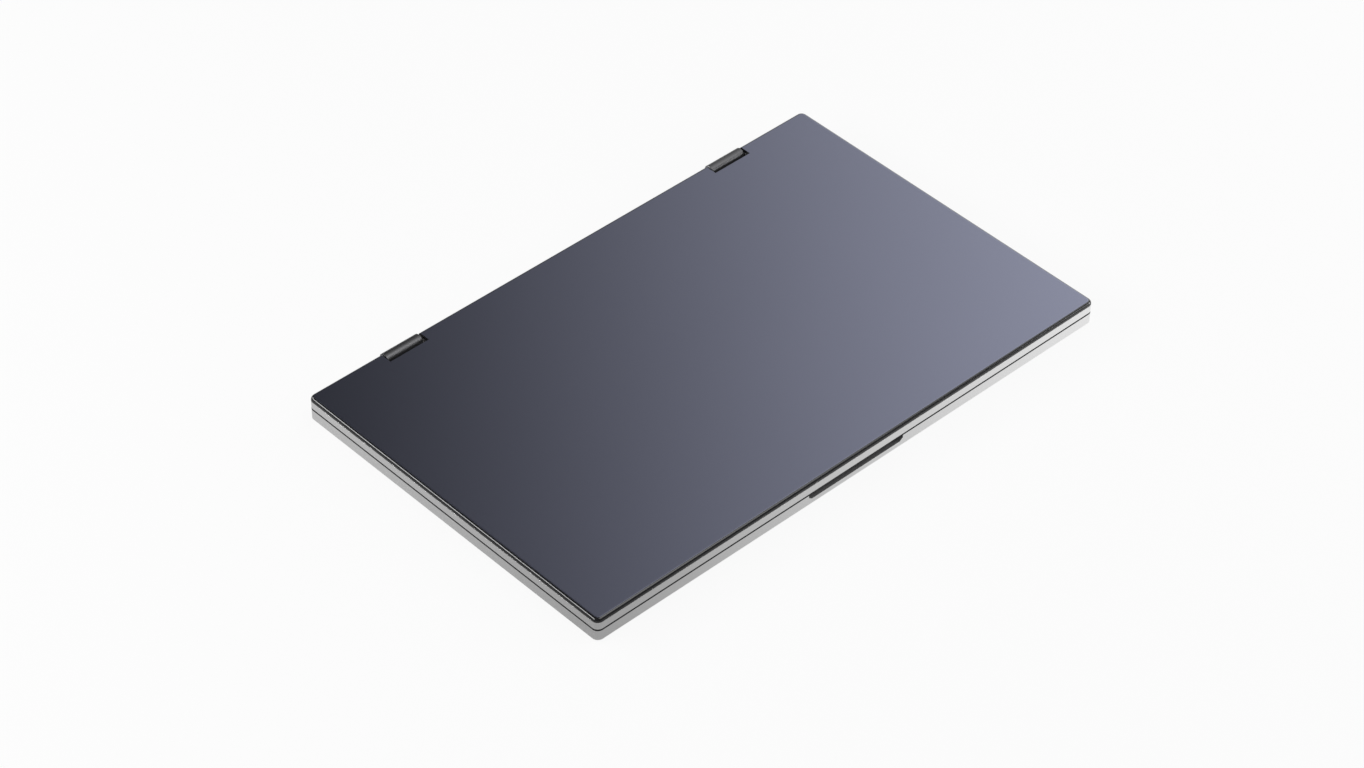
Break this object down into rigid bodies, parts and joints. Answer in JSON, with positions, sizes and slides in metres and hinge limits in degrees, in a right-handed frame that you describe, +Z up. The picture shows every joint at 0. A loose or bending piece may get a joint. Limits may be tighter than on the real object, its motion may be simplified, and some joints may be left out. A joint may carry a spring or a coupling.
{
  "type": "folding stacked dual-screen monitor",
  "caption": "Thin slab of stacked screens, folded shut, with a dark top cover, silver frames and geared hinge barrels in notches of its back edge.",
  "frame": {"origin": "centre of the lower panel's footprint on the plane that the feet rest on", "axes": "+X along the hinge edge to the side with the ports, +Y towards the hinge edge, +Z up"},
  "size_m": [0.3584, 0.2252, 0.0154],
  "materials": {
    "backlight_tray": "white film in a thin tray",
    "bond_tape": "black adhesive foam",
    "bottom_cover": "bead-blasted silver, anodised",
    "circuit_board": "green solder mask",
    "cover_glass": "clear glass with a black printed border",
    "dark_cover": "smooth dark grey lacquer with a cool sheen",
    "foot_rubber": "dark matt rubber",
    "hinge_dark": "dark grey satin coat",
    "key_metal": "silver anodised",
    "port_metal": "bright plated shell",
    "satin_frame": "finely brushed silver, anodised",
    "screen_cell": "black screen",
    "spring_steel": "blued spring steel",
    "steel": "ground steel",
    "switch_body": "black moulding"
  },
  "bodies": {
    "lower_panel": {"lower_frame": "satin_frame", "lower_back_cover": "bottom_cover", "rubber_feet": "foot_rubber", "screen_bumpers": "foot_rubber", "lower_cover_glass": "cover_glass", "lower_lcd_cell": "screen_cell", "lower_backlight": "backlight_tray", "main_board": "circuit_board", "key_board": "circuit_board", "key_switches": "switch_body", "usb_c_port_1": "port_metal", "usb_c_port_2": "port_metal", "mini_hdmi_port": "port_metal", "cover_screws": "steel", "lower_leaf_screws": "steel", "lower_leaf_left": "hinge_dark", "lower_leaf_right": "hinge_dark", "lower_shaft_left": "steel", "lower_shaft_right": "steel", "lower_gear_left": "steel", "lower_gear_right": "steel", "lower_nut_left": "steel", "lower_nut_right": "steel"},
    "upper_panel": {"upper_frame": "satin_frame", "upper_back_cover": "dark_cover", "upper_cover_tape": "bond_tape", "upper_cover_glass": "cover_glass", "upper_lcd_cell": "screen_cell", "upper_backlight": "backlight_tray", "upper_driver_board": "circuit_board", "upper_leaf_screws": "steel", "upper_leaf_left": "hinge_dark", "upper_leaf_right": "hinge_dark", "upper_shaft_left": "steel", "upper_shaft_right": "steel", "upper_gear_left": "steel", "upper_gear_right": "steel", "upper_nut_left": "steel", "upper_nut_right": "steel"},
    "power_button": {"power_key": "key_metal"},
    "up_button": {"up_key": "key_metal"},
    "down_button": {"down_key": "key_metal"},
    "left_link": {"link_cover_left": "hinge_dark", "carrier_plates_left": "steel", "idler_pins_left": "steel", "torque_plates_left": "spring_steel", "spring_washers_left": "spring_steel"},
    "left_low_idler": {"idler_low_left": "steel"},
    "left_high_idler": {"idler_high_left": "steel"},
    "right_link": {"link_cover_right": "hinge_dark", "carrier_plates_right": "steel", "idler_pins_right": "steel", "torque_plates_right": "spring_steel", "spring_washers_right": "spring_steel"},
    "right_low_idler": {"idler_low_right": "steel"},
    "right_high_idler": {"idler_high_right": "steel"}
  },
  "joints": [
    {"name": "lower_axis_left", "type": "hinge", "parent": "lower_panel", "child": "left_link", "pos_m": [-0.11715, 0.1099, 0.00405], "axis": [-1, 0, 0], "range_deg": [0, 180]},
    {"name": "lower_axis_right", "type": "hinge", "parent": "lower_panel", "child": "right_link", "pos_m": [0.11715, 0.1099, 0.00405], "axis": [-1, 0, 0], "range_deg": [0, 180]},
    {"name": "upper_axis", "type": "hinge", "parent": "left_link", "child": "upper_panel", "pos_m": [-0.11715, 0.1099, 0.01185], "axis": [-1, 0, 0], "range_deg": [0, 180]},
    {"name": "low_idler_left", "type": "hinge", "parent": "left_link", "child": "left_low_idler", "pos_m": [-0.127, 0.1099, 0.00665], "axis": [-1, 0, 0], "range_deg": [0, 180]},
    {"name": "high_idler_left", "type": "hinge", "parent": "left_link", "child": "left_high_idler", "pos_m": [-0.127, 0.1099, 0.00925], "axis": [-1, 0, 0], "range_deg": [-180, 0]},
    {"name": "low_idler_right", "type": "hinge", "parent": "right_link", "child": "right_low_idler", "pos_m": [0.127, 0.1099, 0.00665], "axis": [-1, 0, 0], "range_deg": [0, 180]},
    {"name": "high_idler_right", "type": "hinge", "parent": "right_link", "child": "right_high_idler", "pos_m": [0.127, 0.1099, 0.00925], "axis": [-1, 0, 0], "range_deg": [-180, 0]},
    {"name": "power_press", "type": "slide", "parent": "lower_panel", "child": "power_button", "axis": [-1, 0, 0], "range_m": [0, 0.0004], "stiffness_N_per_m": 400},
    {"name": "up_press", "type": "slide", "parent": "lower_panel", "child": "up_button", "axis": [-1, 0, 0], "range_m": [0, 0.0004], "stiffness_N_per_m": 400},
    {"name": "down_press", "type": "slide", "parent": "lower_panel", "child": "down_button", "axis": [-1, 0, 0], "range_m": [0, 0.0004], "stiffness_N_per_m": 400}
  ],
  "couplings": [
    {"joint": "lower_axis_right", "follows": "lower_axis_left", "ratio": 1},
    {"joint": "upper_axis", "follows": "lower_axis_left", "ratio": 1},
    {"joint": "low_idler_left", "follows": "lower_axis_left", "ratio": 1},
    {"joint": "high_idler_left", "follows": "lower_axis_left", "ratio": -1},
    {"joint": "low_idler_right", "follows": "lower_axis_left", "ratio": 1},
    {"joint": "high_idler_right", "follows": "lower_axis_left", "ratio": -1}
  ]
}
